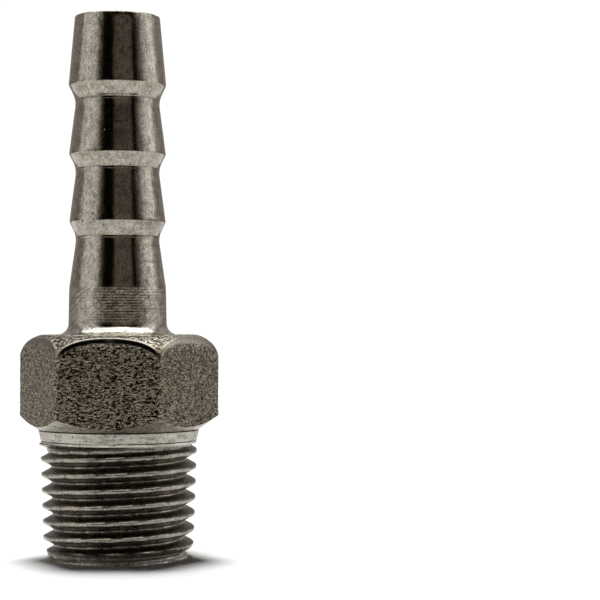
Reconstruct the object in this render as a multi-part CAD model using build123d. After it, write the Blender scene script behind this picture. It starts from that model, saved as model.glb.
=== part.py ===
from build123d import *
import math
import os

# Hexagon hose tail: barbed hose end, spanner hexagon and male taper pipe thread,
# one investment casting machined on the tail, the boss face, the collar, the
# thread and the bore. Millimetres. The axis is +Z, the origin is the centre of
# the thread's end face, and one flat of the hexagon faces -Y.

# ---------------------------------------------------------------- driving sizes
TOTAL_LENGTH = 46.56          # end face of the thread to the hose end

# bore
BORE_R = 2.75                 # 5.5 mm straight through
TIP_CHAMFER = 0.42            # countersink of the bore at the hose end
END_CHAMFER = 0.45            # countersink of the bore at the thread end

# male taper thread, R 1/4-19, 55 degree form, right hand
THREAD_PITCH = 25.4 / 19.0    # 1.3368
THREAD_DEPTH = 0.856
THREAD_HALF_ANGLE = 27.5      # degrees, flank to the plane square to the axis
GAUGE_LENGTH = 6.0            # small end to the gauge plane
GAUGE_MAJOR_R = 13.157 / 2.0  # major radius in the gauge plane
TAPER = 1.0 / 32.0            # radius per length, 1:16 on the diameter
THREAD_LENGTH = 9.90          # end face to the collar
CREST_Z = 5.897               # height of a crest where the turn angle is CREST_DEG
CREST_DEG = 187.0
LEAD_R = 5.86                 # radius of the end face
LEAD_SLOPE = 0.43             # lead-in chamfer, radius per length

# collar between thread and hexagon
COLLAR_FOOT_R = 6.62          # the collar widens upwards a little
COLLAR_R = 6.87
COLLAR_TOP = 11.04

# hexagon
ACROSS_FLATS = 15.0
HEX_EDGE_R = 0.50             # cast rounding of the six upright edges
CONE_FOOT_R = 6.90            # machined chamfer cone under the hexagon
CONE_FOOT_Z = 11.10
CONE_TOP_R = 8.66
CONE_TOP_Z = 12.34
DOME_R = (6.62, 7.95, 8.66)   # cast dome over the hexagon, three points of its arc
DOME_Z = (19.19, 18.50, 17.10)
BOSS_Z = 19.19                # machined flat round the root of the tail

# hose tail: (radius, height, rounding) from the root to the hose end
ROOT_FILLET = 1.0
TAIL = [
    (4.225, BOSS_Z, ROOT_FILLET),
    (4.146, 23.243, 3.0),
    (3.521, 27.609, 2.0),
    (4.133, 28.895, 0.45),
    (3.529, 33.450, 2.0),
    (4.156, 34.706, 0.45),
    (3.549, 39.352, 2.2),
    (4.193, 40.650, 0.60),
    (3.650, TOTAL_LENGTH, 0.10),
]

NODE = "hose_tail"


# ------------------------------------------------------------------- helpers
def rounded_path(points):
    """Edges through (r, z, rounding) points, each inner corner rounded by an arc."""
    edges = []
    last = Vector(points[0][0], 0, points[0][1])
    for i in range(1, len(points) - 1):
        a = Vector(points[i - 1][0], 0, points[i - 1][1])
        p = Vector(points[i][0], 0, points[i][1])
        b = Vector(points[i + 1][0], 0, points[i + 1][1])
        rho = points[i][2]
        if rho <= 0:
            edges.append(Line(last, p))
            last = p
            continue
        u = (a - p).normalized()
        v = (b - p).normalized()
        half = math.radians(u.get_angle(v)) / 2.0
        back = rho / math.tan(half)
        t1 = p + u * back
        t2 = p + v * back
        centre = p + (u + v).normalized() * (rho / math.sin(half))
        mid = centre + (p - centre).normalized() * rho
        if (t1 - last).length > 1e-6:
            edges.append(Line(last, t1))
        edges.append(ThreePointArc(t1, mid, t2))
        last = t2
    end = Vector(points[-1][0], 0, points[-1][1])
    if (end - last).length > 1e-6:
        edges.append(Line(last, end))
    return edges


def turned(edges):
    """Solid of revolution about Z of a closed outline in the XZ plane."""
    face = make_face(Wire(edges))
    return revolve(face, Axis.Z, 360.0)


def major_r(z):
    return GAUGE_MAJOR_R + (z - GAUGE_LENGTH) * TAPER


# --------------------------------------------------------- thread and its groove
# The groove is cut in a tapered bar longer than the thread, and the bar is then
# cut square at the end face and at the collar, and chamfered at the end face.
z_low, z_high = -4.0, THREAD_LENGTH + 4.0
bar = turned([
    Line((0, 0, z_low), (major_r(z_low), 0, z_low)),
    Line((major_r(z_low), 0, z_low), (major_r(z_high), 0, z_high)),
    Line((major_r(z_high), 0, z_high), (0, 0, z_high)),
    Line((0, 0, z_high), (0, 0, z_low)),
])

# groove section in the axial plane: root flat, 27.5 degree flanks, open outwards
flank = math.tan(math.radians(THREAD_HALF_ANGLE))
flat = (THREAD_PITCH - 2.0 * THREAD_DEPTH * flank) / 2.0
over = 0.10
half_root = flat / 2.0
half_open = half_root + (THREAD_DEPTH + over) * flank
# the groove starts at START_DEG, below the end face, and a root lies half a pitch
# from each crest
START_DEG = 33.0
z_root = CREST_Z + THREAD_PITCH * (START_DEG - CREST_DEG) / 360.0 - THREAD_PITCH / 2.0
while z_root > -1.2:
    z_root -= THREAD_PITCH
r_root = major_r(z_root) - THREAD_DEPTH
helix = Helix(
    pitch=THREAD_PITCH,
    height=THREAD_LENGTH + 1.3 - z_root,
    radius=r_root,
    center=(0, 0, z_root),
    direction=(0, 0, 1),
    cone_angle=math.degrees(math.atan(TAPER)),
)
section = make_face(Polyline(
    (r_root, 0, z_root - half_root),
    (r_root + THREAD_DEPTH + over, 0, z_root - half_open),
    (r_root + THREAD_DEPTH + over, 0, z_root + half_open),
    (r_root, 0, z_root + half_root),
    close=True,
))
groove = Rot(0, 0, START_DEG) * sweep(section, path=helix, is_frenet=True)
thread = bar - groove
thread = thread - Pos(0, 0, -10.0) * Cylinder(radius=12.0, height=20.0)
thread = thread - Rot(0, 0, 77.0) * turned([
    Line((LEAD_R - 2.0 * LEAD_SLOPE, 0, -2.0), (7.2, 0, -2.0)),
    Line((7.2, 0, -2.0), (7.2, 0, (7.2 - LEAD_R) / LEAD_SLOPE)),
    Line((7.2, 0, (7.2 - LEAD_R) / LEAD_SLOPE), (LEAD_R - 2.0 * LEAD_SLOPE, 0, -2.0)),
])
thread = thread - Pos(0, 0, THREAD_LENGTH + 10.0) * Cylinder(radius=12.0, height=20.0)
print("thread", round(thread.volume, 2), thread.is_valid, len(thread.solids()))

# --------------------------------------------------------------- hexagon blank
hex_blank = turned([
    Line((0, 0, COLLAR_TOP), (CONE_FOOT_R, 0, COLLAR_TOP)),
    Line((CONE_FOOT_R, 0, COLLAR_TOP), (CONE_FOOT_R, 0, CONE_FOOT_Z)),
    Line((CONE_FOOT_R, 0, CONE_FOOT_Z), (CONE_TOP_R, 0, CONE_TOP_Z)),
    Line((CONE_TOP_R, 0, CONE_TOP_Z), (DOME_R[2], 0, DOME_Z[2])),
    ThreePointArc((DOME_R[2], 0, DOME_Z[2]), (DOME_R[1], 0, DOME_Z[1]), (DOME_R[0], 0, DOME_Z[0])),
    Line((DOME_R[0], 0, BOSS_Z), (0, 0, BOSS_Z)),
    Line((0, 0, BOSS_Z), (0, 0, COLLAR_TOP)),
])
prism = extrude(
    Plane.XY.offset(COLLAR_TOP - 1.0)
    * RegularPolygon(radius=ACROSS_FLATS / 2.0, side_count=6, major_radius=False, rotation=0.0),
    amount=BOSS_Z - COLLAR_TOP + 2.0,
)
prism = fillet(prism.edges().filter_by(Axis.Z), radius=HEX_EDGE_R)
hexagon = hex_blank & prism

# ------------------------------------------------------------- collar and tail
collar = turned([
    Line((0, 0, THREAD_LENGTH), (COLLAR_FOOT_R, 0, THREAD_LENGTH)),
    Line((COLLAR_FOOT_R, 0, THREAD_LENGTH), (COLLAR_R, 0, COLLAR_TOP)),
    Line((COLLAR_R, 0, COLLAR_TOP), (0, 0, COLLAR_TOP)),
    Line((0, 0, COLLAR_TOP), (0, 0, THREAD_LENGTH)),
])
outline = rounded_path([(DOME_R[0] - 0.4, BOSS_Z, 0)] + TAIL + [(0.0, TOTAL_LENGTH, 0)])
tail = turned(
    outline
    + [
        Line((0, 0, TOTAL_LENGTH), (0, 0, BOSS_Z - 1.0)),
        Line((0, 0, BOSS_Z - 1.0), (DOME_R[0] - 0.4, 0, BOSS_Z - 1.0)),
        Line((DOME_R[0] - 0.4, 0, BOSS_Z - 1.0), (DOME_R[0] - 0.4, 0, BOSS_Z)),
    ]
)

# ------------------------------------------------------------------------ bore
bore = turned([
    Line((0, 0, -1.0), (BORE_R + END_CHAMFER + 1.0, 0, -1.0)),
    Line((BORE_R + END_CHAMFER + 1.0, 0, -1.0), (BORE_R, 0, END_CHAMFER)),
    Line((BORE_R, 0, END_CHAMFER), (BORE_R, 0, TOTAL_LENGTH - TIP_CHAMFER)),
    Line((BORE_R, 0, TOTAL_LENGTH - TIP_CHAMFER), (BORE_R + TIP_CHAMFER + 1.0, 0, TOTAL_LENGTH + 1.0)),
    Line((BORE_R + TIP_CHAMFER + 1.0, 0, TOTAL_LENGTH + 1.0), (0, 0, TOTAL_LENGTH + 1.0)),
    Line((0, 0, TOTAL_LENGTH + 1.0), (0, 0, -1.0)),
])

# ------------------------------------------------------------------- one solid
body = hexagon + tail + collar
body = body + thread
body = body - bore
solids = body.solids()
print("solids", len(solids), "valid", body.is_valid, "volume", round(body.volume, 2))

os.makedirs("parts", exist_ok=True)
export_step(solids[0], f"parts/{NODE}.step")
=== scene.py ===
import bpy
import math
import numpy as np
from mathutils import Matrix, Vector


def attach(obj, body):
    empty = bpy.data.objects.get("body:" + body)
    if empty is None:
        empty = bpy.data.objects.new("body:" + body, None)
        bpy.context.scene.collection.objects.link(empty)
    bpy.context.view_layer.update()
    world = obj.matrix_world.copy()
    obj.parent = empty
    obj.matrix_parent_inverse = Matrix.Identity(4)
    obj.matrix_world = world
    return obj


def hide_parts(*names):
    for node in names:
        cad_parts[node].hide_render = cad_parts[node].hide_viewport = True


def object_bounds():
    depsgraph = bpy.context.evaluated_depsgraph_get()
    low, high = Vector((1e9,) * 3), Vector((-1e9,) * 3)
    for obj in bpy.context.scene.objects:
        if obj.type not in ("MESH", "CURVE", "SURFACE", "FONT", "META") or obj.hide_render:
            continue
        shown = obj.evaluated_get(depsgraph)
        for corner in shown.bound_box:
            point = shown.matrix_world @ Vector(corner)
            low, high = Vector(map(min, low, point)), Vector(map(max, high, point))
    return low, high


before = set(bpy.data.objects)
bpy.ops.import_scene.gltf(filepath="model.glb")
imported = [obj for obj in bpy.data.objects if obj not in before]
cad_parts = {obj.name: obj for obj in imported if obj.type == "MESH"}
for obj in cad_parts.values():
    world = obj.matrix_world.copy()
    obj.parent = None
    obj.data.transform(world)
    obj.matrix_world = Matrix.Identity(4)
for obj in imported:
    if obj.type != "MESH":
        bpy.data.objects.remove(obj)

cad_lo, cad_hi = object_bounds()
NODE = "hose_tail"

# ---------------------------------------------------------------------------
# Sizes, in millimetres, the same as the CAD part's driving sizes
# ---------------------------------------------------------------------------
TOTAL = 46.56
BORE_R, TIP_CH, END_CH = 2.75, 0.42, 0.45
PITCH, DEPTH, HALF = 25.4 / 19.0, 0.856, math.radians(27.5)
GAUGE, GAUGE_R, TAPER = 6.0, 13.157 / 2.0, 1.0 / 32.0
THREAD_L, CREST_Z, CREST_A = 9.90, 5.897, math.radians(187.0)
LEAD_R, LEAD_S = 5.86, 0.43
COLLAR_FOOT, COLLAR_R, COLLAR_TOP = 6.62, 6.87, 11.04
AF, HEX_RF = 15.0, 0.50
CONE_A, CONE_B = (6.90, 11.10), (8.66, 12.34)
DOME = ((6.62, 19.19), (7.95, 18.50), (8.66, 17.10))
BOSS_Z = 19.19
TAIL = [
    (4.225, BOSS_Z, 1.0),
    (4.146, 23.243, 3.0),
    (3.521, 27.609, 2.0),
    (4.133, 28.895, 0.45),
    (3.529, 33.450, 2.0),
    (4.156, 34.706, 0.45),
    (3.549, 39.352, 2.2),
    (4.193, 40.650, 0.60),
    (3.650, TOTAL, 0.10),
]

# ---------------------------------------------------------------------------
# Seeded gradient noise on points, vectorised
# ---------------------------------------------------------------------------
_rng = np.random.default_rng(20811)
_perm = _rng.permutation(256)
_perm = np.concatenate([_perm, _perm, _perm])
_grad = _rng.normal(size=(256, 3))
_grad /= np.linalg.norm(_grad, axis=1)[:, None]


def noise(p):
    """Gradient noise, about -1 to 1, at points p of shape (..., 3)."""
    p = np.asarray(p, float)
    i = np.floor(p).astype(int)
    f = p - i
    u = f * f * f * (f * (f * 6 - 15) + 10)
    out = np.zeros(p.shape[:-1])
    for dx in (0, 1):
        wx = u[..., 0] if dx else 1 - u[..., 0]
        hx = _perm[(i[..., 0] + dx) & 255]
        for dy in (0, 1):
            wy = u[..., 1] if dy else 1 - u[..., 1]
            hy = _perm[(hx + i[..., 1] + dy) & 255]
            for dz in (0, 1):
                wz = u[..., 2] if dz else 1 - u[..., 2]
                h = _perm[(hy + i[..., 2] + dz) & 255]
                g = _grad[h]
                d = g[..., 0] * (f[..., 0] - dx) + g[..., 1] * (f[..., 1] - dy) + g[..., 2] * (f[..., 2] - dz)
                out += wx * wy * wz * d
    return out * 1.6


def sstep(a, b, x):
    t = np.clip((x - a) / (b - a), 0.0, 1.0)
    return t * t * (3 - 2 * t)


def smin(a, b, k):
    h = np.clip(0.5 + 0.5 * (b - a) / k, 0, 1)
    return b * (1 - h) + a * h - k * h * (1 - h)


def smax(a, b, k):
    return -smin(-a, -b, k)


# ---------------------------------------------------------------------------
# Profile helper: (r, z, rounding) corners -> sampled polyline
# ---------------------------------------------------------------------------
def sample_path(points, step, arc_step=None, arc_min=3):
    """Points along a path of straight runs with rounded corners."""
    arc_step = arc_step or step
    out = [np.array(points[0][:2], float)]

    def run(b):
        a = out[-1]
        n = max(1, int(math.ceil(np.linalg.norm(b - a) / step)))
        for k in range(1, n + 1):
            out.append(a + (b - a) * k / n)

    for i in range(1, len(points) - 1):
        a, p, b = (np.array(points[j][:2], float) for j in (i - 1, i, i + 1))
        rho = points[i][2]
        if rho <= 0:
            run(p)
            continue
        u = (a - p) / np.linalg.norm(a - p)
        v = (b - p) / np.linalg.norm(b - p)
        half = math.acos(max(-1.0, min(1.0, float(u @ v)))) / 2
        back = rho / math.tan(half)
        t1, t2 = p + u * back, p + v * back
        c = p + (u + v) / np.linalg.norm(u + v) * rho / math.sin(half)
        if np.linalg.norm(t1 - out[-1]) > 1e-6:
            run(t1)
        a1 = math.atan2(t1[1] - c[1], t1[0] - c[0])
        a2 = math.atan2(t2[1] - c[1], t2[0] - c[0])
        d = (a2 - a1 + math.pi) % (2 * math.pi) - math.pi
        n = max(arc_min, int(math.ceil(abs(d) * rho / arc_step)))
        for k in range(1, n + 1):
            w = a1 + d * k / n
            out.append(c + rho * np.array([math.cos(w), math.sin(w)]))
    run(np.array(points[-1][:2], float))
    return np.array(out)


# ---------------------------------------------------------------------------
# Rings. Each ring is an array (N, 3). Zones are tags for the faces above it.
# ---------------------------------------------------------------------------
# the last list holds, per point, how much painted shade darkens the surface there
rings, zones, calms, painted_shades = [], [], [], []


def angles(n):
    return np.arange(n) * 2 * math.pi / n


def add_ring(r, z, n, zone, calm=1.0, painted_shade=0.0):
    """r, z, calm and soot may be numbers or arrays over the n angles."""
    t = angles(n)
    r = np.broadcast_to(np.asarray(r, float), (n,))
    z = np.broadcast_to(np.asarray(z, float), (n,))
    rings.append(np.stack([r * np.cos(t), r * np.sin(t), z], 1))
    zones.append(zone)
    calms.append(np.broadcast_to(np.asarray(calm, float), (n,)))
    painted_shades.append(np.broadcast_to(np.asarray(painted_shade, float), (n,)))


def cyl(r, z, t):
    r, z, t = np.broadcast_arrays(r, z, t)
    return np.stack([r * np.cos(t), r * np.sin(t), z], -1)


N_T, N_H, N_B = 180, 360, 90


def major_r(z):
    return GAUGE_R + (z - GAUGE) * TAPER


def thread_r(t, z):
    """Radius of the threaded surface at turn angle t and height z."""
    t, z = np.broadcast_arrays(t, np.asarray(z, float))
    wob = noise(np.stack([np.cos(t) * 1.7 + 9.1, np.sin(t) * 1.7, z * 0.35], -1)) * 0.012
    frac = (z + wob - CREST_Z) / PITCH - (t - CREST_A) / (2 * math.pi)
    frac = frac - np.round(frac)
    d = np.abs(frac) * PITCH
    flat = 0.28
    x = (d - flat / 2) / math.tan(HALF)
    # thread runs out towards the collar: shallower groove and a raised burr
    h = DEPTH - 0.33 * sstep(8.6, 9.45, z)
    x = smin(x, h, 0.10)
    x = smax(x, 0.0, 0.07)
    rim = major_r(z) + 0.10 * sstep(9.50, 9.80, z)
    # small nicks and a faint waviness along the crest
    q = np.stack([np.cos(t) * 6.6, np.sin(t) * 6.6, z], -1)
    nick = noise(q * 1.1 + 31.0)
    fine = noise(q * 3.3 + 7.0)
    crest = np.exp(-((x / 0.16) ** 2))
    r = rim - x - crest * (0.010 * np.clip(fine, 0, 1) + 0.07 * np.clip(nick - 0.62, 0, 1))
    r += 0.004 * fine * (1 - crest)
    return r


# --- thread end face, from the bore's countersink outwards
for r, z in sample_path([(BORE_R, END_CH, 0), (BORE_R + END_CH, 0.0, 0.05), (LEAD_R - 0.05, 0.0, 0)], 0.45, 0.03):
    add_ring(r, z, N_T, "face")
for k in range(1, 4):
    w = k / 3.0 * math.pi / 2 * 0.62
    base = LEAD_R - 0.05
    tt = angles(N_T)
    z = 0.05 * (1 - math.cos(w))
    r = np.minimum(base + 0.05 * math.sin(w), thread_r(tt, z))
    add_ring(r, z, N_T, "face")

# --- thread
tt = angles(N_T)
z_rows = [0.06, 0.13]
z = 0.21
while z < THREAD_L - 0.06:
    z_rows.append(z)
    z += 0.0885
z_rows += [THREAD_L - 0.035, THREAD_L]
for z in z_rows:
    r = thread_r(tt, z)
    lead = LEAD_R + LEAD_S * z
    r = smin(r, lead, 0.05)
    add_ring(r, z, N_T, "thread")

# --- collar: run-out step, wall that widens upwards, cut line under the cone
last_r = np.hypot(rings[-1][:, 0], rings[-1][:, 1])
for k in (0.5, 1.0):
    add_ring(last_r + (COLLAR_FOOT - last_r) * k, THREAD_L + 0.004 * k, N_T, "collar")
collar_path = sample_path(
    [
        (COLLAR_FOOT, THREAD_L + 0.004, 0),
        (COLLAR_R - 0.008, COLLAR_TOP - 0.035, 0.02),
        (COLLAR_R - 0.060, COLLAR_TOP - 0.020, 0),
    ],
    0.10, 0.02,
)
LIP_Z = 10.14
lip_slope = (COLLAR_R - COLLAR_FOOT) / (COLLAR_TOP - THREAD_L)
rows = [(r, z, 0.0, 0.0) for r, z in collar_path[1:] if abs(z - LIP_Z) > 0.06]
# the two middle rows of the small cut round the collar carry painted shade where the cut runs
rows += [(COLLAR_FOOT + (LIP_Z + dz - THREAD_L) * lip_slope, LIP_Z + dz, cut, dark)
         for dz, cut, dark in ((-0.045, 0.0, 0.0), (-0.030, 0.03, 1.0), (0.015, 0.035, 1.0), (0.040, 0.0, 0.0))]
for r, z, cut, dark in sorted(rows, key=lambda a: (a[1] if a[0] < COLLAR_R - 0.02 or a[1] < 10.5 else a[1] + 0.001)):
    q = cyl(r, z, tt)
    nick = np.clip(noise(q * 1.6 + 13.0) - 0.55, 0, 1) * 0.12 * np.exp(-(((z - THREAD_L) / 0.18) ** 2))
    broken = sstep(-0.55, 0.05, noise(q * 0.55 + 61.0))
    add_ring(r + 0.006 * noise(q * 1.3) - nick - cut * broken, z, N_T, "collar", 1.0, dark * broken)
# the groove under the cone: its three inner rows carry painted shade
for dr, dz, dark in ((-0.190, -0.085, 1.0), (-0.190, -0.012, 1.0), (-0.014, -0.006, 0.9), (0.0, 0.0, 0.0)):
    add_ring(CONE_A[0] + dr, CONE_A[1] + dz, N_T, "groove", 1.0, dark)

# --- hexagon, columns that follow the edges of the cone and of the dome
th = angles(N_H)


def hex_r(t):
    """Rounded hexagon radius; flats face 30, 90, 150 ... degrees, corners at 0, 60 ..."""
    a = (t + math.pi / 6) % (math.pi / 3) - math.pi / 6  # 0 at a corner
    phi = math.pi / 6 - np.abs(a)  # 0 at a flat's middle
    flat = AF / 2 / np.cos(phi)
    rc = AF / 2 / math.cos(math.pi / 6)
    c = rc - HEX_RF / math.cos(math.pi / 6)
    s = HEX_RF ** 2 - (c * np.sin(a)) ** 2
    arc = c * np.cos(a) + np.sqrt(np.maximum(s, 0))
    t_len = AF / 2 * math.tan(math.pi / 6) - HEX_RF * math.tan(math.pi / 6)
    lim = math.atan2(t_len, AF / 2)
    return np.where(phi > lim, arc, flat)


def circle3(p, q, r):
    (x1, y1), (x2, y2), (x3, y3) = p, q, r
    d = 2 * (x1 * (y2 - y3) + x2 * (y3 - y1) + x3 * (y1 - y2))
    ux = ((x1**2 + y1**2) * (y2 - y3) + (x2**2 + y2**2) * (y3 - y1) + (x3**2 + y3**2) * (y1 - y2)) / d
    uy = ((x1**2 + y1**2) * (x3 - x2) + (x2**2 + y2**2) * (x1 - x3) + (x3**2 + y3**2) * (x2 - x1)) / d
    return ux, uy, math.hypot(x1 - ux, y1 - uy)


DX, DZ, DR = circle3(*DOME)


def dome_z(r):
    return DZ + np.sqrt(np.maximum(DR**2 - (r - DX) ** 2, 1e-9))


def cone_z(r):
    return CONE_A[1] + (r - CONE_A[0]) * (CONE_B[1] - CONE_A[1]) / (CONE_B[0] - CONE_A[0])


n_cone, n_flat, n_dome = 9, 52, 20
Rh = hex_r(th)
# the cast hexagon is a little uneven: edges wander and the flats are not quite plane
wander = noise(np.stack([np.cos(th) * 5, np.sin(th) * 5, th * 0], -1)) * 0.02
# the cone was turned a little off the cast hexagon's own axis, towards the front flat
edge_lo_z = cone_z(Rh - 0.26 * np.cos(th + math.pi / 2))
# the top of each flat leans back before its upper edge, most in the middle of the flat
off_mid = np.abs((th + math.pi / 3) % (math.pi / 3) - math.pi / 6) / (math.pi / 6)
LEAN = 0.085 + 0.115 * (1 - off_mid ** 3)
LEAN_H = 0.46 + 0.30 * (1 - off_mid ** 3)
edge_r = Rh - LEAN
edge_hi_z = dome_z(edge_r)
cols = []  # (radius, height, zone)
# cone from its foot to the lower edge of the flats
for k in range(1, n_cone + 1):
    w = k / n_cone
    w = w ** 0.85
    r = CONE_A[0] + (Rh - 0.025 - CONE_A[0]) * w
    cols.append((r, CONE_A[1] + (edge_lo_z - 0.015 - CONE_A[1]) * w, "cone"))
cols.append((Rh - 0.006, edge_lo_z + 0.006, "cone"))
# flats
for k in range(0, n_flat + 1):
    w = k / n_flat
    z = (edge_lo_z + 0.035) * (1 - w) + (edge_hi_z - LEAN_H) * w
    cols.append((Rh, z, "flat"))
for k in range(1, 10):
    w = k / 9.0
    cols.append((Rh - LEAN * w * w, edge_hi_z - LEAN_H + (LEAN_H - 0.012) * w, "flat"))
dome_r0 = edge_r - 0.030
for k in range(0, n_dome + 1):
    w = (k / n_dome) ** 1.15
    r = dome_r0 + (DOME[0][0] + 0.02 - dome_r0) * w
    cols.append((r, dome_z(r), "dome"))


def cast_height(q):
    """Height of the cast grain at points q (mm), about -1 to 1."""
    w = np.stack([noise(q * 1.1 + 5.0), noise(q * 1.1 + 17.0), noise(q * 1.1 + 29.0)], -1) * 0.25
    q2 = (q + w) * np.array([1.0, 1.0, 1.35])
    a = noise(q2 * 2.1)
    b = noise(q2 * 4.0 + 11.3)
    return 0.55 * a + 0.45 * b


front_flat = 1 - sstep(math.radians(26.5), math.radians(30), np.abs((th - 1.5 * math.pi + math.pi) % (2 * math.pi) - math.pi))
for r, z, zone in cols:
    q = cyl(r, z, th)
    nr = cyl(1.0, 0.0, th)
    if zone in ("flat", "dome"):
        if zone == "flat":
            n_r, n_z = 1.0, 0.0
            calm = 1 - 0.90 * np.exp(-((np.maximum(edge_hi_z - z - 0.30, 0) / 0.16) ** 2))
        else:
            n_r, n_z = (r - DX) / DR, (z - DZ) / DR
            calm = 1 - 0.85 * np.exp(-(((dome_r0 - r) / 0.13) ** 2))
        h = cast_height(q)
        low = noise(q * 0.55 + 3.0)
        amp = 0.042
        pits = np.clip(-noise(q * 1.25 + 77.0) - 0.55, 0, 1) * 0.30
        dr = amp * h + 0.018 * low - pits - 0.028
        fade = sstep(0.0, 0.5, z - edge_lo_z) * 0.7 + 0.3
        dr = dr * calm * fade - 0.012 * (1 - calm)
        r2 = np.minimum(r + dr * n_r, Rh)
        z2 = np.minimum(z + dr * n_z, 19.185)
        # a band under the upper edge of the front flat, below the dome's lip, carries painted shadow
        under = sstep(0.0, 0.06, edge_hi_z - z) * sstep(0.60, 0.34, edge_hi_z - z) if zone == "flat" else 0.0
        under = under * front_flat * (1.2 + 0.5 * noise(q * 1.3 + 21.0))
        add_ring(r2, z2, N_H, "cast", calm, np.clip(under, 0, 1))
    else:
        add_ring(r + 0.003 * noise(q * 2.0), z, N_H, zone)

# --- machined boss face, root fillet, tail, tip, countersink
path = sample_path(
    [(DOME[0][0], BOSS_Z - 0.03, 0), (DOME[0][0] - 0.03, BOSS_Z, 0.0), (5.95, BOSS_Z, 0)], 0.25)
for r, z in path:
    add_ring(r, z, N_T, "boss")
tail_pts = [(5.95, BOSS_Z, 0)] + TAIL + [(BORE_R + TIP_CH, TOTAL, 0.05), (BORE_R, TOTAL - TIP_CH, 0)]
tail_path = sample_path(tail_pts, 0.40, 0.095, 4)
FEET = (27.609, 33.450, 39.352)
_rise = next(i for i in range(len(tail_path)) if tail_path[i][1] > BOSS_Z + 0.5)
_top = int(np.argmax(tail_path[:, 1]))
extra = [zf + dz for zf in FEET for dz in (-0.20, -0.14, -0.10, -0.05, 0.0, 0.05)]
_r_of = lambda h: float(np.interp(h, tail_path[_rise:_top, 1], tail_path[_rise:_top, 0]))
climb = sorted([tuple(a) for a in tail_path[_rise:_top] if min(abs(a[1] - e) for e in extra) > 0.02] + [(_r_of(e), e) for e in extra], key=lambda a: a[1])
tail_path = np.array([tuple(a) for a in tail_path[:_rise]] + climb + [tuple(a) for a in tail_path[_top:]])
for r, z in tail_path[1:]:
    q = cyl(r, z, tt)
    w = 0.006 * noise(q * 0.9 + 40.0) + 0.003 * noise(q * 2.6 + 50.0)
    if z < BOSS_Z + 0.02:
        w = w * 0
    rim = math.exp(-(((z - TOTAL) / 0.22) ** 2)) * (1.0 if r > 3.3 else 0.0)
    dent = np.clip(noise(q * 1.5 + 90.0) - 0.05, 0, 1) + 0.4 * np.clip(noise(q * 3.4 + 95.0), 0, 1)
    w = w - 0.045 * rim * dent
    z = z - 0.055 * rim * np.clip(noise(q * 1.9 + 70.0), 0, 1) if rim > 0.01 else z
    zone = "tail"
    height = float(np.mean(z))
    if height < 20.0:
        zone = "boss"
    if r < 3.50 and height > TOTAL - 0.5:
        zone = "face"
    foot = min((height - zf for zf in FEET), key=abs)
    w = w - 0.014 * math.exp(-((foot / 0.045) ** 2)) + 0.011 * math.exp(-(((foot + 0.12) / 0.045) ** 2))
    # painted shade in thin dark lines at the foot of each barb's slope and just above each barb's crest
    cut_line = math.exp(-((foot / 0.05) ** 2)) * np.clip(0.8 + 1.2 * noise(q * 0.7 + 44.0), 0, 1)
    line = sum(math.exp(-(((height - c - 0.05) / 0.07) ** 2)) for c in (28.895, 34.706, 40.650))
    line = np.clip(line * (0.45 + 1.1 * noise(q * 0.8 + 33.0)) + 0.9 * cut_line, 0, 1)
    add_ring(r + w, z, N_T, zone, 1.0, line)
# --- bore, back down to the countersink at the thread end
for z in np.linspace(TOTAL - TIP_CH, END_CH, 20)[1:-1]:
    q = cyl(BORE_R, z, angles(N_B))
    add_ring(BORE_R + 0.010 * noise(q * 0.8), z, N_B, "bore")

# ---------------------------------------------------------------------------
# Stitch the rings into one closed mesh
# ---------------------------------------------------------------------------
# the tail was turned in a second chucking, a little off the axis of the thread
side_x, side_y = math.cos(math.radians(7.0)), math.sin(math.radians(7.0))
for j, ring in enumerate(rings):
    zone = zones[j]
    if zone not in ("boss", "tail", "bore") and not (zone == "face" and ring[0, 2] > 20):
        continue
    z, r = ring[:, 2].mean(), np.hypot(ring[:, 0], ring[:, 1]).mean()
    off = 0.12 + 0.055 * (z - BOSS_Z) / (TOTAL - BOSS_Z)
    if zone == "bore":
        off = 0.175 * (z - END_CH) / (TOTAL - TIP_CH - END_CH)
    elif r > 5.0 and z < BOSS_Z + 0.3:
        off *= min(1.0, max(0.0, (5.9 - r) / 0.7))
    ring[:, 0] -= off * side_x
    ring[:, 1] -= off * side_y

verts = np.concatenate(rings)
start = np.cumsum([0] + [len(r) for r in rings])
ZONES = ["face", "thread", "collar", "groove", "cone", "cast", "boss", "tail", "bore"]
SLOT_OF = {"face": 1, "thread": 1, "collar": 4, "groove": 4, "cone": 4, "cast": 0, "boss": 2, "tail": 2, "bore": 3}
faces, mats = [], []
M = len(rings)
for j in range(M):
    k = (j + 1) % M
    na, nb = len(rings[j]), len(rings[k])
    a0, b0 = start[j], start[k]
    zone = zones[k] if k else "bore"
    m = SLOT_OF[zone]
    if zone == "boss" and np.hypot(rings[k][:, 0], rings[k][:, 1]).mean() > 5.3:
        m = 4
    if na == nb:
        for i in range(na):
            i2 = (i + 1) % na
            faces.append((a0 + i, a0 + i2, b0 + i2, b0 + i))
            mats.append(m)
    elif nb == 2 * na:
        for i in range(na):
            i2 = (i + 1) % na
            b_0, b_1, b_2 = b0 + 2 * i, b0 + 2 * i + 1, b0 + (2 * i + 2) % nb
            faces += [(a0 + i, a0 + i2, b_1), (a0 + i, b_1, b_0), (a0 + i2, b_2, b_1)]
            mats += [m, m, m]
    elif na == 2 * nb:
        for i in range(nb):
            i2 = (i + 1) % nb
            a_0, a_1, a_2 = a0 + 2 * i, a0 + 2 * i + 1, a0 + (2 * i + 2) % na
            faces += [(b0 + i2, b0 + i, a_1), (b0 + i, a_0, a_1), (b0 + i2, a_1, a_2)]
            mats += [m, m, m]
    else:
        raise ValueError("rings do not match")

# inside the CAD box, to the hundredth of a millimetre
lo_mm, hi_mm = np.array(cad_lo) * 1000.0, np.array(cad_hi) * 1000.0
verts = np.clip(verts, lo_mm, hi_mm)

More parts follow.
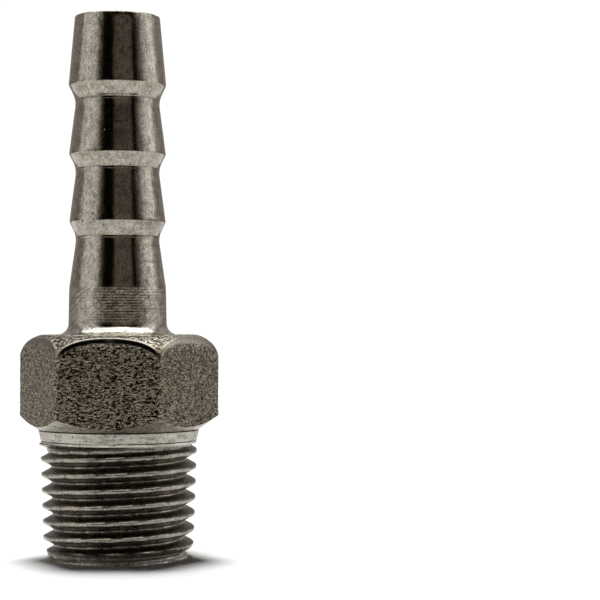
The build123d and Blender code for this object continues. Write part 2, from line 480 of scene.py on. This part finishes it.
mesh = bpy.data.meshes.new("hose_tail_body")
mesh.from_pydata((verts / 1000.0).tolist(), [], faces)
mesh.update()
for p, m in zip(mesh.polygons, mats):
    p.material_index = m
    p.use_smooth = True
body = bpy.data.objects.new("hose_tail_body", mesh)
bpy.context.scene.collection.objects.link(body)
mesh.set_sharp_from_angle(angle=math.radians(48.0))


def groove_painted_shade(v):
    """0 on the crests and lower flanks, 1 where the groove is darkened with painted shade."""
    x, y, z = v[:, 0], v[:, 1], v[:, 2]
    t = np.arctan2(y, x)
    frac = (z - CREST_Z) / PITCH - (t - CREST_A) / (2 * math.pi)
    frac = frac - np.round(frac)
    d = frac * PITCH                                  # above (+) or below (-) the crest
    dark = sstep(-0.36, -0.46, d) + sstep(0.10, 0.20, d) * (1 - sstep(0.46, 0.54, d))
    line = sstep(0.50, 0.56, d) * (1 - sstep(0.62, 0.68, d))   # thin line beside the root, left out of the painted shade
    dark = np.clip(dark, 0, 1) * (1 - line)
    on = sstep(0.25, 0.45, z) * (1 - sstep(9.72, 9.84, z)) * (np.hypot(x, y) > 4.0)
    return dark * on


for label, values in (("groove", groove_painted_shade(verts)), ("calm", np.concatenate(calms)), ("painted_shade", np.concatenate(painted_shades))):
    attr = mesh.attributes.new(label, "FLOAT", "POINT")
    attr.data.foreach_set("value", values.astype(np.float32))
tris = sum(len(p.vertices) - 2 for p in mesh.polygons)
print("triangles", tris, "rings", M)


# ---------------------------------------------------------------------------
# Materials
# ---------------------------------------------------------------------------
class Tree:
    def __init__(self, name):
        self.mat = bpy.data.materials.new(name)
        self.mat.use_nodes = True
        self.t = self.mat.node_tree
        self.t.nodes.clear()
        self.out = self.t.nodes.new("ShaderNodeOutputMaterial")
        self.bsdf = self.t.nodes.new("ShaderNodeBsdfPrincipled")
        self.t.links.new(self.bsdf.outputs["BSDF"], self.out.inputs["Surface"])
        self.coord = self.t.nodes.new("ShaderNodeTexCoord").outputs["Object"]

    def link(self, a, b):
        self.t.links.new(a, b)

    def mapping(self, scale, loc=(0, 0, 0), vec=None):
        n = self.t.nodes.new("ShaderNodeMapping")
        n.inputs["Scale"].default_value = scale
        n.inputs["Location"].default_value = loc
        self.link(vec or self.coord, n.inputs["Vector"])
        return n.outputs["Vector"]

    def noise(self, vec, scale, detail=3.0, rough=0.55, distortion=0.0):
        n = self.t.nodes.new("ShaderNodeTexNoise")
        n.inputs["Scale"].default_value = scale
        n.inputs["Detail"].default_value = detail
        n.inputs["Roughness"].default_value = rough
        n.inputs["Distortion"].default_value = distortion
        self.link(vec, n.inputs["Vector"])
        return n.outputs["Fac"]

    def voronoi(self, vec, scale, feature="F1"):
        n = self.t.nodes.new("ShaderNodeTexVoronoi")
        n.feature = feature
        n.inputs["Scale"].default_value = scale
        self.link(vec, n.inputs["Vector"])
        return n.outputs["Distance"]

    def ramp(self, fac, stops, interp="LINEAR"):
        n = self.t.nodes.new("ShaderNodeValToRGB")
        n.color_ramp.interpolation = interp
        e = n.color_ramp.elements
        while len(e) < len(stops):
            e.new(0.5)
        for el, (p, c) in zip(e, stops):
            el.position = p
            el.color = (*c, 1) if len(c) == 3 else c
        self.link(fac, n.inputs["Fac"])
        return n.outputs["Color"]

    def math(self, op, a, b=None, c=None, clamp=False):
        n = self.t.nodes.new("ShaderNodeMath")
        n.operation = op
        n.use_clamp = clamp
        for i, v in enumerate((a, b, c)):
            if v is None:
                continue
            if isinstance(v, (int, float)):
                n.inputs[i].default_value = v
            else:
                self.link(v, n.inputs[i])
        return n.outputs["Value"]

    def maprange(self, v, a, b, c, d):
        n = self.t.nodes.new("ShaderNodeMapRange")
        n.inputs["From Min"].default_value = a
        n.inputs["From Max"].default_value = b
        n.inputs["To Min"].default_value = c
        n.inputs["To Max"].default_value = d
        self.link(v, n.inputs["Value"])
        return n.outputs["Result"]

    def sep(self, vec=None):
        n = self.t.nodes.new("ShaderNodeSeparateXYZ")
        self.link(vec or self.coord, n.inputs["Vector"])
        return n.outputs

    def mix(self, fac, a, b):
        n = self.t.nodes.new("ShaderNodeMix")
        n.data_type = "RGBA"
        for sock, v in ((n.inputs["Factor"], fac), (n.inputs["A"], a), (n.inputs["B"], b)):
            pass
        ins = [s for s in n.inputs if s.enabled]
        for s, v in zip(ins, (fac, a, b)):
            if isinstance(v, (int, float)):
                s.default_value = v
            elif isinstance(v, tuple):
                s.default_value = (*v, 1) if len(v) == 3 else v
            else:
                self.link(v, s)
        return [o for o in n.outputs if o.enabled][0]

    def wave(self, vec, per_mm):
        """Rings along the axis, per_mm of them in a millimetre."""
        n = self.t.nodes.new("ShaderNodeTexWave")
        n.wave_type = "BANDS"
        n.bands_direction = "Z"
        n.wave_profile = "SIN"
        n.inputs["Scale"].default_value = per_mm * math.pi / 10.0
        n.inputs["Distortion"].default_value = 1.6
        n.inputs["Detail"].default_value = 2.0
        n.inputs["Detail Scale"].default_value = 1.5
        self.link(vec, n.inputs["Vector"])
        return n.outputs["Fac"]

    def spot(self, vec, centre, radius):
        """1 inside a small ball round a point, with an uneven edge."""
        n = self.t.nodes.new("ShaderNodeVectorMath")
        n.operation = "DISTANCE"
        self.link(vec, n.inputs[0])
        n.inputs[1].default_value = centre
        d = self.math("ADD", n.outputs["Value"], self.math("MULTIPLY", self.noise(vec, 6.0, 2.0), radius * 1.2))
        return self.maprange(d, radius * 1.15, radius * 1.5, 1.0, 0.0)

    def multiply(self, a, b):
        n = self.t.nodes.new("ShaderNodeMix")
        n.data_type = "RGBA"
        n.blend_type = "MULTIPLY"
        ins = [s for s in n.inputs if s.enabled]
        ins[0].default_value = 1.0
        self.link(a, ins[1])
        self.link(b, ins[2])
        return [o for o in n.outputs if o.enabled][0]

    def attribute(self, name):
        n = self.t.nodes.new("ShaderNodeAttribute")
        n.attribute_type = "GEOMETRY"
        n.attribute_name = name
        return n.outputs["Fac"]

    def bump(self, height, distance, strength=1.0, normal=None):
        n = self.t.nodes.new("ShaderNodeBump")
        n.inputs["Distance"].default_value = distance
        n.inputs["Strength"].default_value = strength
        self.link(height, n.inputs["Height"])
        if normal is not None:
            self.link(normal, n.inputs["Normal"])
        return n.outputs["Normal"]


MM = 1000.0  # textures are laid out in millimetres of the object
STEEL = (0.345, 0.319, 0.272)
STEEL_D = (0.240, 0.218, 0.178)
STEEL_L = (0.425, 0.398, 0.350)


def cast_material():
    m = Tree("stainless_cast")
    v = m.mapping((MM, MM, MM))
    v_flat = m.mapping((MM, MM, MM * 1.9))
    grain = m.noise(v_flat, 3.1, 1.6, 0.55, 0.5)
    worm = m.noise(m.mapping((MM, MM, MM * 2.15), (7.0, 3.0, 5.0)), 2.6, 1.6, 0.6, 0.8)
    fine = m.noise(v, 8.5, 2.0, 0.6)
    lumps = m.maprange(grain, 0.36, 0.62, 0.0, 1.0)
    vein = m.math("ABSOLUTE", m.math("SUBTRACT", worm, 0.5))
    h = m.math("ADD", m.math("MULTIPLY", lumps, 0.24), m.math("MULTIPLY", fine, 0.22))
    h = m.math("ADD", h, m.math("MULTIPLY", m.maprange(vein, 0.0, 0.07, 0.0, 1.0), 0.16))
    calm = m.attribute("calm")
    n = m.bump(h, 0.00017, 1.0)
    m.link(calm, n.node.inputs["Strength"])
    m.link(n, m.bsdf.inputs["Normal"])
    # dark pits of the cast skin and painted shade in the hollows of the grain and its veins, with painted highlights on
    # its lumps, most on the front flat, over slow patches of tone
    tone = m.ramp(m.noise(v, 0.9, 3.0, 0.55), [(0.35, (0.180, 0.154, 0.116)), (0.65, (0.222, 0.192, 0.148))])
    # on the dome the tone is painted darker towards the left side, as shade, and lighter towards the right
    xyz = m.sep(v)
    dome = m.maprange(xyz[2], 18.0, 18.8, 0.0, 1.0)
    left = m.maprange(xyz[0], -6.5, 3.0, 0.0, 1.0)
    tone = m.mix(dome, tone, m.mix(left, (0.205, 0.192, 0.166), (0.445, 0.426, 0.380)))
    front = m.math("MULTIPLY", m.maprange(m.math("ABSOLUTE", xyz[0]), 4.15, 4.40, 1.0, 0.0), m.maprange(xyz[1], -7.0, -7.1, 0.0, 1.0))
    strong = m.multiply(
        m.ramp(grain, [(0.395, (0.012, 0.010, 0.008)), (0.48, (0.80, 0.79, 0.77)), (0.62, (1.42, 1.40, 1.37))]),
        m.ramp(vein, [(0.0, (0.004, 0.0035, 0.003)), (0.032, (0.03, 0.027, 0.022)), (0.064, (1.20, 1.19, 1.16))]))
    mild = m.multiply(
        m.ramp(grain, [(0.39, (0.14, 0.13, 0.115)), (0.465, (0.86, 0.85, 0.82)), (0.60, (1.22, 1.20, 1.16))]),
        m.ramp(vein, [(0.0, (0.28, 0.27, 0.25)), (0.034, (0.42, 0.41, 0.39)), (0.062, (1.10, 1.09, 1.06))]))
    # on the left flat the grain gets still more painted shade in its hollows and painted highlight on its lumps
    west = m.math("MULTIPLY", m.maprange(xyz[0], -4.10, -4.35, 0.0, 1.0), m.maprange(xyz[1], -0.5, 0.5, 1.0, 0.0))
    mild = m.mix(west, mild, m.multiply(mild, m.ramp(grain, [(0.41, (0.20, 0.19, 0.17)), (0.49, (1.0, 1.0, 1.0)), (0.58, (1.42, 1.40, 1.36))])))
    grain_pits_and_shade = m.mix(calm, (1.0, 1.0, 1.0), m.mix(front, mild, strong))
    dab = m.spot(v, (7.36, -2.25, 13.75), 0.26)
    speck = m.ramp(fine, [(0.30, (0.55, 0.53, 0.50)), (0.48, (1.0, 1.0, 1.0)), (0.70, (1.12, 1.12, 1.12))])
    col = m.multiply(m.multiply(tone, grain_pits_and_shade), speck)
    # painted shadow under the dome's lip on the front flat, and one dark spot on the right flat, go near black
    col = m.mix(m.math("MAXIMUM", m.attribute("painted_shade"), dab), col, (0.010, 0.008, 0.006))
    m.link(col, m.bsdf.inputs["Base Color"])
    r = m.maprange(m.noise(v, 5.0, 2.0), 0.3, 0.7, 0.18, 0.27)
    m.link(r, m.bsdf.inputs["Roughness"])
    m.bsdf.inputs["Metallic"].default_value = 1.0
    return m.mat


def turned_material(name, base=0.17, line_depth=0.000006, aniso=0.5, thread=False):
    m = Tree(name)
    v = m.mapping((MM, MM, MM))
    rings_v = m.mapping((MM * 0.05, MM * 0.05, MM * 6.0))
    lines = m.noise(rings_v, 1.0, 3.0, 0.65)
    blotch = m.noise(v, 1.7, 3.0, 0.6)
    fine = m.noise(v, 6.2, 3.0, 0.72)
    n1 = m.bump(lines, line_depth, 1.0)
    n2 = m.bump(fine, 0.000016 if thread else 0.000006, 1.0, n1)
    mott = m.math("ADD", m.math("MULTIPLY", blotch, 0.35), m.math("MULTIPLY", fine, 0.65))
    col = m.ramp(mott, [(0.37, (0.175, 0.157, 0.122)), (0.46, STEEL_D), (0.54, STEEL), (0.64, STEEL_L)])
    if not thread:
        streak = m.noise(m.mapping((MM * 1.5, MM * 1.5, MM * 0.55), (5.0, 2.0, 9.0)), 2.2, 3.0, 0.7)
        col = m.multiply(col, m.ramp(streak, [(0.34, (0.62, 0.60, 0.57)), (0.45, (1.0, 1.0, 1.0)), (0.64, (1.10, 1.10, 1.10))]))
    r = m.maprange(blotch, 0.3, 0.7, base * 0.8, base * 1.3)
    if thread:
        # painted shade darkens the thread's upper flanks and the lower part of its lower flanks
        g = m.attribute("groove")
        dark = m.ramp(g, [(0.0, (1.0, 1.0, 1.0)), (1.0, (0.20, 0.185, 0.155))])
        col = m.multiply(col, dark)
        z = m.sep(v)[2]
        # painted light: the end chamfer's colour is lightened, standing in for a brighter reflection; the chamfer is
        # rougher too
        cham = m.maprange(z, 0.78, 0.60, 0.0, 1.0)
        col = m.mix(cham, col, m.multiply(col, m.ramp(fine, [(0.30, (1.36, 1.42, 1.50)), (0.65, (2.30, 2.42, 2.58))])))
        r = m.math("ADD", r, m.math("MULTIPLY", cham, 0.26))
        pits = m.ramp(m.noise(v, 3.6, 3.0, 0.7), [(0.30, (0.25, 0.23, 0.20)), (0.40, (1.0, 1.0, 1.0))])
        col = m.multiply(col, pits)
    else:
        # coarse feed marks on the straight root of the tail, left unpolished
        z = m.sep(v)[2]
        zone = m.math("MULTIPLY", m.maprange(z, 19.9, 20.3, 0.0, 1.0), m.maprange(z, 23.34, 23.10, 0.0, 1.0))
        xyz = m.sep(v)
        facing = m.maprange(m.math("ABSOLUTE", m.math("ADD", xyz[0], -0.55)), 1.0, 3.1, 1.0, 0.0)
        patchy = m.ramp(m.noise(m.mapping((MM * 0.9, MM * 0.9, MM * 1.6)), 1.0, 3.0, 0.6), [(0.46, (0, 0, 0)), (0.60, (1, 1, 1))])
        gaps = m.ramp(m.noise(m.mapping((MM * 1.1, MM * 1.1, MM * 4.2), (3.0, 8.0, 1.0)), 1.0, 2.0, 0.6), [(0.38, (0.15, 0.15, 0.15)), (0.52, (1, 1, 1))])
        keep = m.math("MULTIPLY", m.math("MAXIMUM", m.math("MULTIPLY", patchy, 0.35), facing), gaps)
        feed_v = m.mapping((MM * 0.10, MM * 0.10, MM * 1.0))
        wave = m.wave(feed_v, 1.0 / 0.235)
        feed = m.math("ADD", m.math("MULTIPLY", wave, 0.5), m.math("MULTIPLY", m.noise(m.mapping((MM * 0.35, MM * 0.35, MM * 4.0)), 1.0, 2.0, 0.6), 0.5))
        marks = m.math("MULTIPLY", zone, keep)
        n2 = m.bump(m.math("MULTIPLY", feed, marks), 0.000022, 1.0, n2)
        cut = m.ramp(feed, [(0.36, (0.14, 0.125, 0.10)), (0.47, (1.0, 1.0, 1.0))])
        col = m.mix(marks, col, m.multiply(col, cut))
        # painted light: the root's colour is lightened in the middle, where it faces front and back
        col = m.mix(m.math("MULTIPLY", zone, facing), col, m.multiply(col, m.ramp(fine, [(0.35, (1.32, 1.32, 1.32)), (0.62, (1.62, 1.61, 1.59))])))
        r = m.math("ADD", r, m.math("MULTIPLY", zone, 0.26))
        # grinding scratches that run askew over the root
        skew = m.t.nodes.new("ShaderNodeMapping")
        skew.inputs["Rotation"].default_value = (0.0, 0.62, 0.0)
        m.link(v, skew.inputs["Vector"])
        scr = m.noise(m.mapping((0.45, 0.45, 5.5), (0, 0, 0), skew.outputs["Vector"]), 1.0, 2.0, 0.6)
        col = m.mix(m.math("MULTIPLY", zone, 0.7), col, m.multiply(col, m.ramp(scr, [(0.36, (0.40, 0.38, 0.35)), (0.46, (1.0, 1.0, 1.0)), (0.62, (1.15, 1.15, 1.15))])))
        # faint turning lines left of the right light band, a few stains and one bright nick
        fine_turn = m.ramp(m.noise(m.mapping((MM * 0.10, MM * 0.10, MM * 4.6)), 1.0, 2.0, 0.6), [(0.42, (0.62, 0.60, 0.56)), (0.52, (1.0, 1.0, 1.0))])
        span = m.math("MULTIPLY", m.maprange(xyz[0], 1.5, 2.3, 0.0, 1.0), m.maprange(z, 33.5, 30.5, 0.0, 1.0))
        broken = m.ramp(m.noise(v, 1.4, 2.0), [(0.40, (0, 0, 0)), (0.56, (1, 1, 1))])
        col = m.mix(m.math("MULTIPLY", m.math("MULTIPLY", span, broken), 0.8), col, m.multiply(col, fine_turn))
        for c_, rad_ in (((-1.80, -3.71, 29.45), 0.17), ((-2.73, -3.17, 28.86), 0.15), ((2.1, -3.2, 21.9), 0.20)):
            col = m.mix(m.math("MULTIPLY", m.spot(v, c_, rad_), 0.75), col, (0.05, 0.042, 0.034))
        # painted shade: the thin lines along the barbs go dark
        col = m.mix(m.math("MULTIPLY", m.attribute("painted_shade"), 0.8), col, (0.035, 0.030, 0.024))
        nick = m.spot(v, (-0.76, -3.82, 36.46), 0.11)
        n2 = m.bump(m.math("MULTIPLY", nick, -1.0), 0.00012, 1.0, n2)
        shine = m.math("MULTIPLY", m.maprange(z, 19.95, 19.65, 0.0, 1.0), m.maprange(z, 19.19, 19.26, 0.0, 1.0))
        # on the root fillet the colour is patchy and painted darker towards the left side as shade
        dull = m.ramp(m.noise(m.mapping((MM, MM, MM * 1.5), (2.0, 4.0, 6.0)), 1.9, 3.0, 0.65), [(0.38, (0.22, 0.21, 0.18)), (0.50, (0.62, 0.60, 0.56))])
        dull = m.mix(m.maprange(xyz[0], -3.6, -0.8, 0.0, 1.0), m.multiply(dull, m.ramp(fine, [(0.35, (0.40, 0.39, 0.37)), (0.60, (0.95, 0.95, 0.95))])), dull)
        col = m.mix(shine, col, dull)
        rough = m.noise(m.mapping((MM, MM, MM * 0.7), (4.0, 1.0, 2.0)), 2.4, 2.0, 0.6)
        n2 = m.bump(m.math("MULTIPLY", rough, shine), 0.000035, 1.0, n2)
        burr = m.math("MULTIPLY", m.maprange(z, 45.0, 46.2, 0.0, 1.0), m.noise(m.mapping((MM, MM, MM * 0.8), (1.0, 6.0, 3.0)), 2.6, 3.0, 0.6, 0.6))
        n2 = m.bump(burr, 0.000045, 1.0, n2)
    m.link(n2, m.bsdf.inputs["Normal"])
    m.link(col, m.bsdf.inputs["Base Color"])
    m.link(r, m.bsdf.inputs["Roughness"])
    m.bsdf.inputs["Metallic"].default_value = 1.0
    m.bsdf.inputs["Anisotropic"].default_value = aniso
    m.bsdf.inputs["Anisotropic Rotation"].default_value = 0.25
    tan = m.t.nodes.new("ShaderNodeTangent")
    tan.direction_type = "RADIAL"
    tan.axis = "Z"
    m.link(tan.outputs["Tangent"], m.bsdf.inputs["Tangent"])
    return m.mat


def bore_material():
    m = Tree("stainless_bore")
    v = m.mapping((MM, MM, MM))
    rings_v = m.mapping((MM * 0.1, MM * 0.1, MM * 5.0))
    n1 = m.bump(m.noise(rings_v, 1.0, 4.0, 0.7), 0.00003, 1.0)
    m.link(n1, m.bsdf.inputs["Normal"])
    col = m.ramp(m.noise(v, 1.5, 4.0, 0.6), [(0.35, (0.16, 0.145, 0.12)), (0.65, (0.28, 0.26, 0.215))])
    m.link(col, m.bsdf.inputs["Base Color"])
    r = m.maprange(m.noise(v, 4.0, 2.0), 0.3, 0.7, 0.35, 0.5)
    m.link(r, m.bsdf.inputs["Roughness"])
    m.bsdf.inputs["Metallic"].default_value = 1.0
    return m.mat


def faced_material():
    """Cone and collar: faced with a coarse tool, speckled with small pits."""
    m = Tree("stainless_faced")
    v = m.mapping((MM, MM, MM))
    v_wide = m.mapping((MM * 0.5, MM * 0.5, MM * 1.6))
    grain = m.noise(v, 4.6, 3.0, 0.65)
    streak = m.noise(v_wide, 1.6, 3.0, 0.6)
    n1 = m.bump(grain, 0.00005, 1.0)
    rings_v = m.mapping((MM * 0.05, MM * 0.05, MM * 5.0))
    n2 = m.bump(m.noise(rings_v, 1.0, 2.0, 0.6), 0.00001, 1.0, n1)
    col = m.ramp(streak, [(0.36, (0.270, 0.248, 0.206)), (0.50, (0.425, 0.400, 0.348)), (0.66, (0.485, 0.458, 0.402))])
    pits = m.ramp(grain, [(0.33, (0.30, 0.28, 0.24)), (0.43, (0.92, 0.92, 0.91)), (0.62, (1.08, 1.08, 1.08))])
    col = m.multiply(col, pits)
    z = m.sep(v)[2]
    # the cone, which faces down, is painted darker as shade, speckled with the grain
    col = m.mix(m.maprange(z, 11.10, 11.13, 0.0, 1.0), col, m.multiply(col, m.ramp(grain, [(0.30, (0.66, 0.64, 0.61)), (0.56, (1.02, 1.01, 1.00))])))
    # painted highlight along the collar's lip, fading out towards the left side
    lip_highlight = m.math("MULTIPLY", m.maprange(z, 9.89, 9.92, 0.0, 1.0), m.maprange(z, 10.10, 10.06, 0.0, 1.0))
    lip_highlight = m.math("MULTIPLY", lip_highlight, m.maprange(m.sep(v)[0], -5.0, -0.5, 0.15, 1.0))
    col = m.mix(m.math("MULTIPLY", lip_highlight, m.maprange(streak, 0.40, 0.55, 0.3, 1.0)), col, (0.58, 0.55, 0.49))
    # painted shade: the collar's small cut and the groove under the cone go near black
    col = m.mix(m.attribute("painted_shade"), col, (0.012, 0.010, 0.008))
    m.link(col, m.bsdf.inputs["Base Color"])
    m.link(m.maprange(streak, 0.3, 0.7, 0.30, 0.42), m.bsdf.inputs["Roughness"])
    m.link(n2, m.bsdf.inputs["Normal"])
    m.bsdf.inputs["Metallic"].default_value = 1.0
    return m.mat


for mat in (
    cast_material(),
    turned_material("stainless_threaded", 0.28, 0.000006, 0.2, True),
    turned_material("stainless_turned", 0.11, 0.0000012, 0.0),
    bore_material(),
    faced_material(),
):
    mesh.materials.append(mat)

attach(body, "root")
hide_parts(NODE)

# ---------------------------------------------------------------------------
# Floor, light, camera
# ---------------------------------------------------------------------------
CAM_AZ = math.radians(7.0)   # from -Y towards +X
CAM_D = 0.1618               # camera to the axis, level
CAM_Z = 0.0202
LAMP = 4.1                   # on the floor, W/m2
TO_CAM = Vector((math.sin(CAM_AZ), -math.cos(CAM_AZ), 0.0))
RIGHT = Vector((math.cos(CAM_AZ), math.sin(CAM_AZ), 0.0))

floor_mesh = bpy.data.meshes.new("floor")
fn = 96
fv = [(0.0, 0.0, 0.0)] + [
    (0.046 * math.cos(2 * math.pi * i / fn), 0.046 * math.sin(2 * math.pi * i / fn), 0.0) for i in range(fn)
]
ff = [(0, 1 + i, 1 + (i + 1) % fn) for i in range(fn)]
floor_mesh.from_pydata(fv, [], ff)
floor = bpy.data.objects.new("floor", floor_mesh)
bpy.context.scene.collection.objects.link(floor)
fm = bpy.data.materials.new("floor_paper")
fm.use_nodes = True
fb = fm.node_tree.nodes["Principled BSDF"]
fb.inputs["Base Color"].default_value = (0.86, 0.86, 0.86, 1)
fb.inputs["Roughness"].default_value = 0.9
fb.inputs["Specular IOR Level"].default_value = 0.0
floor_mesh.materials.append(fm)

world = bpy.data.worlds.new("studio")
bpy.context.scene.world = world
world.use_nodes = True
wt = world.node_tree
wt.nodes.clear()


def wnode(kind, **kw):
    n = wt.nodes.new(kind)
    for k, v in kw.items():
        setattr(n, k, v)
    return n


def wmath(op, a, b=None, clamp=False):
    n = wnode("ShaderNodeMath", operation=op, use_clamp=clamp)
    for i, v in enumerate((a, b)):
        if v is None:
            continue
        if isinstance(v, (int, float)):
            n.inputs[i].default_value = v
        else:
            wt.links.new(v, n.inputs[i])
    return n.outputs["Value"]


wdir = wnode("ShaderNodeTexCoord").outputs["Generated"]


def wdot(vec):
    n = wnode("ShaderNodeVectorMath", operation="DOT_PRODUCT")
    wt.links.new(wdir, n.inputs[0])
    n.inputs[1].default_value = vec
    return n.outputs["Value"]


front, side, up = wdot(tuple(TO_CAM)), wdot(tuple(RIGHT)), wdot((0, 0, 1))
phi = wmath("ARCTAN2", side, front)
pos = wmath("ADD", wmath("DIVIDE", phi, 2 * math.pi), 0.5)


def stops_ramp(fac, stops):
    n = wnode("ShaderNodeValToRGB")
    e = n.color_ramp.elements
    while len(e) < len(stops):
        e.new(0.5)
    for el, (deg, val) in zip(e, stops):
        el.position = deg
        s = min(1.0, max(0.0, (val - 0.10) / 0.7)) ** 0.6
        el.color = (val, val * (0.80 + 0.19 * s), val * (0.62 + 0.37 * s), 1)
    wt.links.new(fac, n.inputs["Fac"])
    return n.outputs["Color"]


def d2p(deg):
    return deg / 360.0 + 0.5


band = [
    (-180, 0.36), (-128, 0.38), (-107, 0.42), (-100, 1.05), (-80, 1.25), (-62, 1.10), (-52, 0.80), (-47, 0.26),
    (-41, 0.10), (-37.6, 0.02), (-36.5, 0.004), (-9.2, 0.004), (-8.2, 0.19), (36, 0.19), (37, 0.006), (47, 0.006),
    (50, 0.07), (61, 0.36), (70, 0.90), (84, 1.35), (102, 1.75), (107, 0.85), (118, 0.52), (126, 0.44), (150, 0.36), (180, 0.36),
]
side_light = stops_ramp(pos, [(d2p(a), v) for a, v in band])
elev = wmath("ARCSINE", up)
elev_deg = wmath("MULTIPLY", elev, 180 / math.pi)
over = wmath("DIVIDE", wmath("SUBTRACT", elev_deg, 44.0), 12.0, clamp=True)
mixn = wnode("ShaderNodeMix", data_type="RGBA")
ins = [s for s in mixn.inputs if s.enabled]
wt.links.new(over, ins[0])
wt.links.new(side_light, ins[1])
ins[2].default_value = (3.4, 3.35, 3.25, 1)
upper = [o for o in mixn.outputs if o.enabled][0]
# under the horizon: the pale table, which ends early in front and runs on at the sides;
# in front a thin dark and a thin light line follow its edge
phi_abs = wmath("ABSOLUTE", wmath("MULTIPLY", phi, 180 / math.pi))
wide = wnode("ShaderNodeMapRange", interpolation_type="SMOOTHSTEP")
wt.links.new(phi_abs, wide.inputs["Value"])
for key_, v_ in (("From Min", 42.0), ("From Max", 96.0), ("To Min", -23.0), ("To Max", -7.0)):
    wide.inputs[key_].default_value = v_
edge = wide.outputs["Result"]
above = wmath("SUBTRACT", elev_deg, edge)          # degrees over the table's edge
table = wmath("SUBTRACT", 1.0, wmath("DIVIDE", above, 1.0, clamp=True), clamp=True)
front_only = wmath("DIVIDE", wmath("SUBTRACT", 62.0, phi_abs), 12.0, clamp=True)


def strip(lo_, hi_):
    up_ = wmath("DIVIDE", wmath("SUBTRACT", above, lo_), 0.8, clamp=True)
    dn_ = wmath("DIVIDE", wmath("SUBTRACT", hi_, above), 0.8, clamp=True)
    return wmath("MULTIPLY", wmath("MULTIPLY", up_, dn_), front_only)


def over_mix(fac, base, col):
    n = wnode("ShaderNodeMix", data_type="RGBA")
    ins_ = [q for q in n.inputs if q.enabled]
    wt.links.new(fac, ins_[0])
    wt.links.new(base, ins_[1])
    ins_[2].default_value = (*col, 1)
    return [o for o in n.outputs if o.enabled][0]


front_45 = wmath("DIVIDE", wmath("SUBTRACT", 50.0, phi_abs), 10.0, clamp=True)
gap = wmath("MULTIPLY", wmath("DIVIDE", wmath("SUBTRACT", elev_deg, 20.0), 3.0, clamp=True),
            wmath("DIVIDE", wmath("SUBTRACT", 45.0, elev_deg), 3.0, clamp=True))
studio = over_mix(wmath("MULTIPLY", gap, front_45), upper, (0.006, 0.005, 0.003))
studio = over_mix(table, studio, (1.26, 1.25, 1.24))
studio = over_mix(strip(1.0, 5.5), studio, (0.012, 0.008, 0.005))
studio = over_mix(strip(6.0, 10.5), studio, (0.55, 0.51, 0.45))
studio = over_mix(strip(11.0, 14.0), studio, (0.012, 0.009, 0.006))
gloss_bg = wnode("ShaderNodeBackground")
wt.links.new(studio, gloss_bg.inputs["Color"])
# the room's own weak light on the floor; the soft box over it is the lamp below
soft_bg = wnode("ShaderNodeBackground")
soft_bg.inputs["Color"].default_value = (1, 1, 1, 1)
soft_bg.inputs["Strength"].default_value = 0.014
white = wnode("ShaderNodeBackground")
white.inputs["Color"].default_value = (1.0, 1.0, 1.0, 1)
white.inputs["Strength"].default_value = 1.05
lp = wnode("ShaderNodeLightPath")
mx0 = wnode("ShaderNodeMixShader")
wt.links.new(lp.outputs["Is Diffuse Ray"], mx0.inputs["Fac"])
wt.links.new(gloss_bg.outputs["Background"], mx0.inputs[1])
wt.links.new(soft_bg.outputs["Background"], mx0.inputs[2])
mx = wnode("ShaderNodeMixShader")
wt.links.new(lp.outputs["Is Camera Ray"], mx.inputs["Fac"])
wt.links.new(mx0.outputs["Shader"], mx.inputs[1])
wt.links.new(white.outputs["Background"], mx.inputs[2])
wout = wnode("ShaderNodeOutputWorld")
wt.links.new(mx.outputs["Shader"], wout.inputs["Surface"])
world.cycles.sampling_method = "NONE"

lamp_data = bpy.data.lights.new("soft_box", "SUN")
lamp_data.energy = LAMP
lamp_data.angle = math.radians(17.0)
lamp = bpy.data.objects.new("soft_box", lamp_data)
bpy.context.scene.collection.objects.link(lamp)
lamp_dir = (Vector((0, 0, 1)) - TO_CAM * 0.16 - RIGHT * 0.02).normalized()
lamp.rotation_mode = "QUATERNION"
lamp.rotation_quaternion = lamp_dir.to_track_quat("Z", "Y")
lamp.visible_glossy = False

cam_data = bpy.data.cameras.new("camera")
cam = bpy.data.objects.new("camera", cam_data)
bpy.context.scene.collection.objects.link(cam)
bpy.context.scene.camera = cam
cam_data.sensor_width = 36.0
cam_data.lens = 112.2
cam_data.clip_start, cam_data.clip_end = 0.005, 5.0
cam.location = TO_CAM * CAM_D + Vector((0, 0, CAM_Z))
TURN, TILT = math.radians(5.523), math.radians(0.70)
to_axis = -TO_CAM
fwd = Vector((
    to_axis.x * math.cos(TURN) + to_axis.y * math.sin(TURN),
    -to_axis.x * math.sin(TURN) + to_axis.y * math.cos(TURN),
    0.0,
))
fwd = Vector((fwd.x * math.cos(TILT), fwd.y * math.cos(TILT), math.sin(TILT)))
cam.rotation_mode = "QUATERNION"
cam.rotation_quaternion = fwd.to_track_quat("-Z", "Y")

scene = bpy.context.scene
scene.view_settings.view_transform = "Standard"
scene.view_settings.look = "None"
